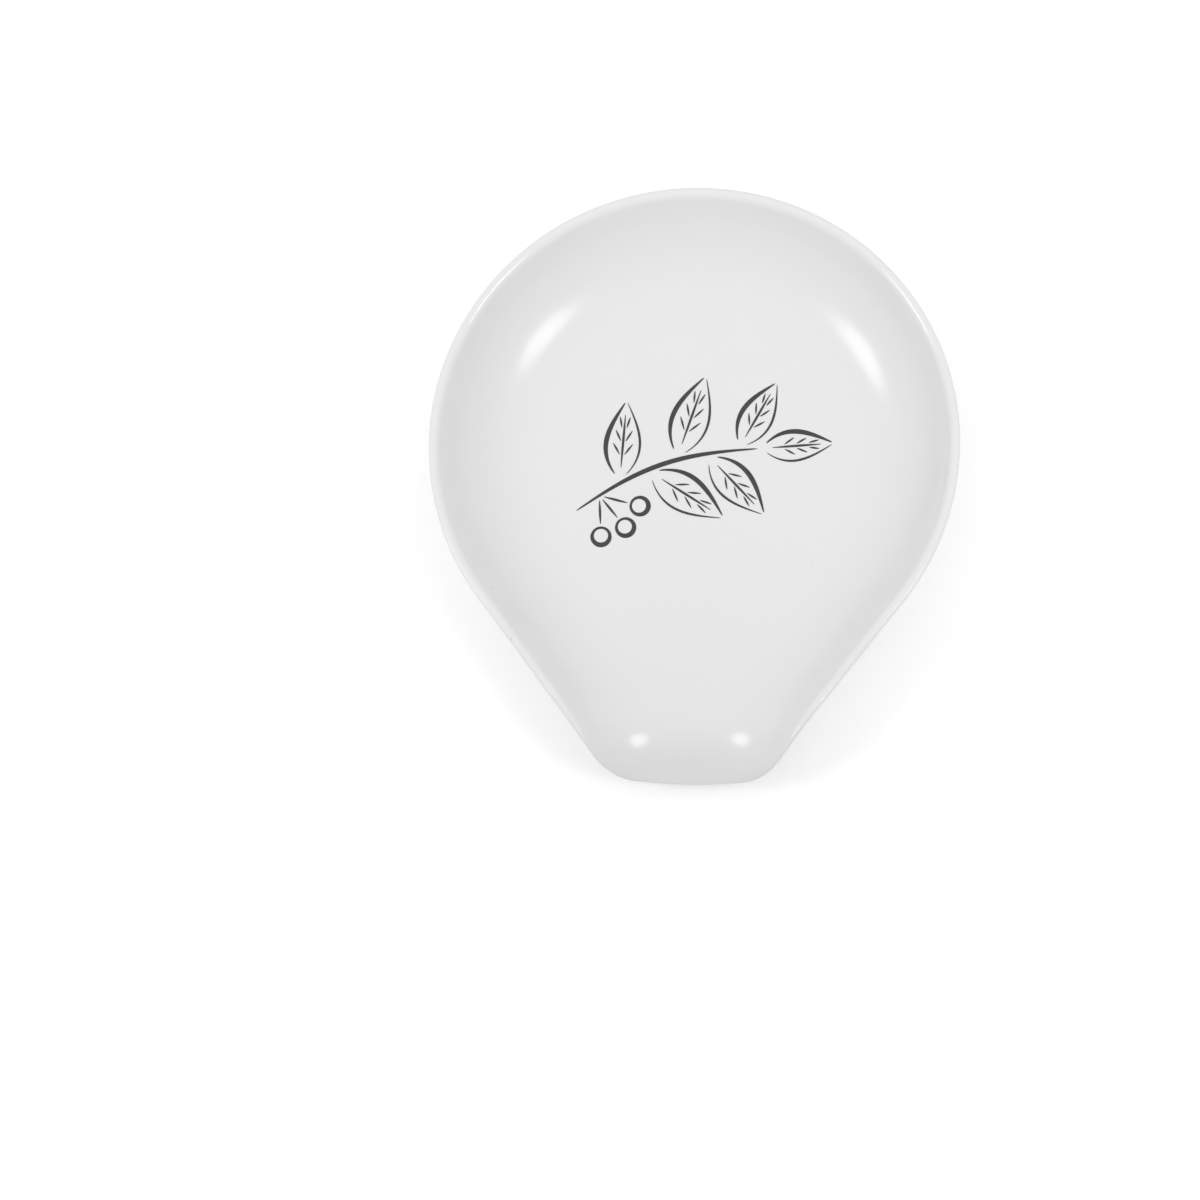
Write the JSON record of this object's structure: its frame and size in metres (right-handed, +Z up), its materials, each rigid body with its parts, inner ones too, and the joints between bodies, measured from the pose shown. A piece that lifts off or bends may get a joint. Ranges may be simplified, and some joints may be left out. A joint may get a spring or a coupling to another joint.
{
  "type": "spoon rest",
  "caption": "Shallow glazed porcelain dish for a wet coffee spoon: round bowl with a coved wall, a lowered lip for the handle, a foot ring and a sprig printed in charcoal lines.",
  "frame": {"origin": "centre of the foot ring, on the plane that it stands on, under the centre of the round head", "axes": "+Z up, out of the bowl; the lip points to -Y; +X to the right when looking from the lip towards the head; the dish is symmetric about the plane X = 0, apart from its print"},
  "size_m": [0.108, 0.1215, 0.0217],
  "materials": {
    "bare_porcelain": "fired and unglazed, fine matt grain",
    "white_glaze": "clear gloss glaze over white porcelain",
    "fired_ink": "charcoal transfer print fired into the glaze"
  },
  "bodies": {
    "root": {"porcelain_body": "bare_porcelain", "glaze_coat": "white_glaze", "base_glaze": "white_glaze", "print_stem": "fired_ink", "print_leaves": "fired_ink", "print_veins": "fired_ink", "print_berries": "fired_ink"}
  },
  "joints": []
}
